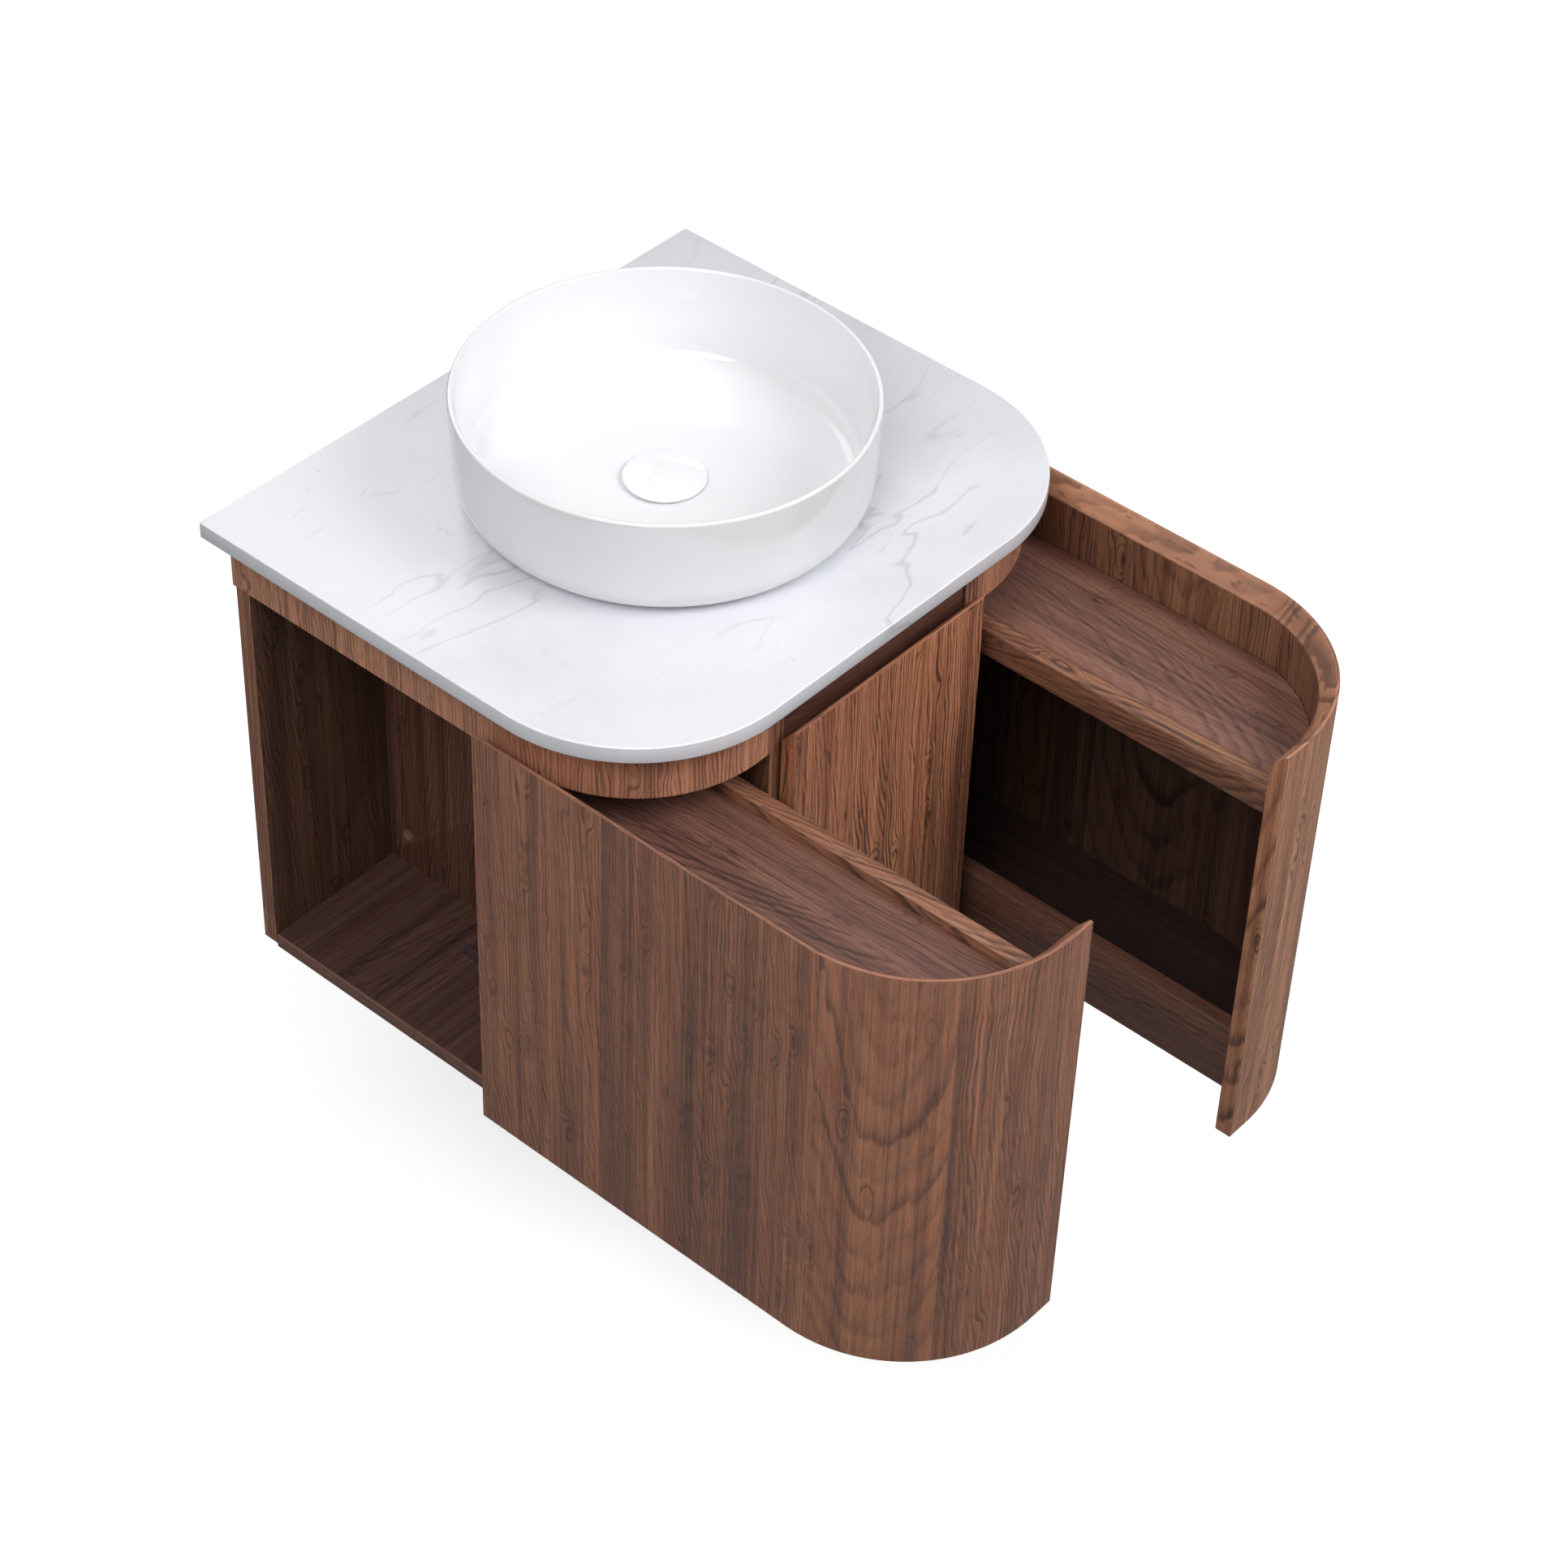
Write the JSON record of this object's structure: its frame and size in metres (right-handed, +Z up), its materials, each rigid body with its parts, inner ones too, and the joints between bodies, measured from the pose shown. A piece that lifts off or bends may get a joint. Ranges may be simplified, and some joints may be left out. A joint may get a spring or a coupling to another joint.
{
  "type": "vessel sink vanity",
  "caption": "Wall-hung vanity with a rounded stone top, a round vessel sink, a centre door between two full-extension side pull-outs, and open interior bays.",
  "frame": {"origin": "middle of the wall rail's back face, where it bolts to the wall", "axes": "+Z up, +Y towards the wall, -Y the front, X across the width with +X on the right as seen from the front. At rest both pull-outs are fully open."},
  "size_m": [0.6, 0.813, 0.5933],
  "materials": {
    "walnut": "satin lacquered walnut-coloured wood veneer",
    "dark_board": "plain dark board, matt",
    "white_stone": "honed white stone with faint grey veins",
    "white_ceramic": "glossy white glaze",
    "runner_steel": "zinc-plated steel",
    "chrome": "polished chrome plate",
    "plywood": "raw birch plywood",
    "black_rubber": "matt black rubber"
  },
  "bodies": {
    "cabinet": {"stone_top": "white_stone", "sink_bowl": "white_ceramic", "drain_body": "chrome", "drain_gasket": "black_rubber", "drain_nut": "chrome", "tailpiece": "chrome", "back_panel": "walnut", "bottom_panel": "walnut", "recess_rail": "walnut", "front_stretcher": "dark_board", "rear_stretcher": "dark_board", "wall_rail": "plywood", "cabinet_cleat": "plywood", "wall_spacer_left": "plywood", "wall_spacer_right": "plywood", "apron_left": "walnut", "apron_right": "walnut", "partition_left": "walnut", "partition_right": "walnut", "left_top_runner_outer": "runner_steel", "left_low_runner_outer": "runner_steel", "right_top_runner_outer": "runner_steel", "right_low_runner_outer": "runner_steel", "left_runner_bracket": "runner_steel", "right_runner_bracket": "runner_steel", "hinge_plate_upper": "runner_steel", "hinge_plate_lower": "runner_steel", "hinge_arm_upper": "runner_steel", "hinge_arm_lower": "runner_steel"},
    "drain_plug": {"drain_cap": "white_ceramic"},
    "door": {"door_panel": "walnut", "hinge_cup_upper": "runner_steel", "hinge_cup_lower": "runner_steel"},
    "left_pullout": {"left_pullout_front": "walnut", "left_pullout_shelf": "walnut", "left_pullout_floor": "walnut", "left_pullout_top_rail": "walnut", "left_pullout_low_rail": "walnut", "left_pullout_rear": "walnut", "left_top_runner_inner": "runner_steel", "left_low_runner_inner": "runner_steel"},
    "left_runners": {"left_top_runner_middle": "runner_steel", "left_low_runner_middle": "runner_steel"},
    "right_pullout": {"right_pullout_front": "walnut", "right_pullout_shelf": "walnut", "right_pullout_floor": "walnut", "right_pullout_top_rail": "walnut", "right_pullout_low_rail": "walnut", "right_pullout_rear": "walnut", "right_top_runner_inner": "runner_steel", "right_low_runner_inner": "runner_steel"},
    "right_runners": {"right_top_runner_middle": "runner_steel", "right_low_runner_middle": "runner_steel"}
  },
  "joints": [
    {"name": "left_pullout_slide", "type": "slide", "parent": "cabinet", "child": "left_pullout", "axis": [0, 1, 0], "range_m": [0, 0.308]},
    {"name": "left_runner_slide", "type": "slide", "parent": "cabinet", "child": "left_runners", "axis": [0, 1, 0], "range_m": [0, 0.154]},
    {"name": "right_pullout_slide", "type": "slide", "parent": "cabinet", "child": "right_pullout", "axis": [0, 1, 0], "range_m": [0, 0.308]},
    {"name": "right_runner_slide", "type": "slide", "parent": "cabinet", "child": "right_runners", "axis": [0, 1, 0], "range_m": [0, 0.154]},
    {"name": "door_hinge", "type": "hinge", "parent": "cabinet", "child": "door", "pos_m": [0.12, -0.504, 0], "axis": [0, 0, 1], "range_deg": [0, 90]},
    {"name": "drain_cap_lift", "type": "slide", "parent": "cabinet", "child": "drain_plug", "axis": [0, 0, 1], "range_m": [0, 0.008]}
  ],
  "couplings": [
    {"joint": "left_runner_slide", "follows": "left_pullout_slide", "ratio": 0.5},
    {"joint": "right_runner_slide", "follows": "right_pullout_slide", "ratio": 0.5}
  ]
}
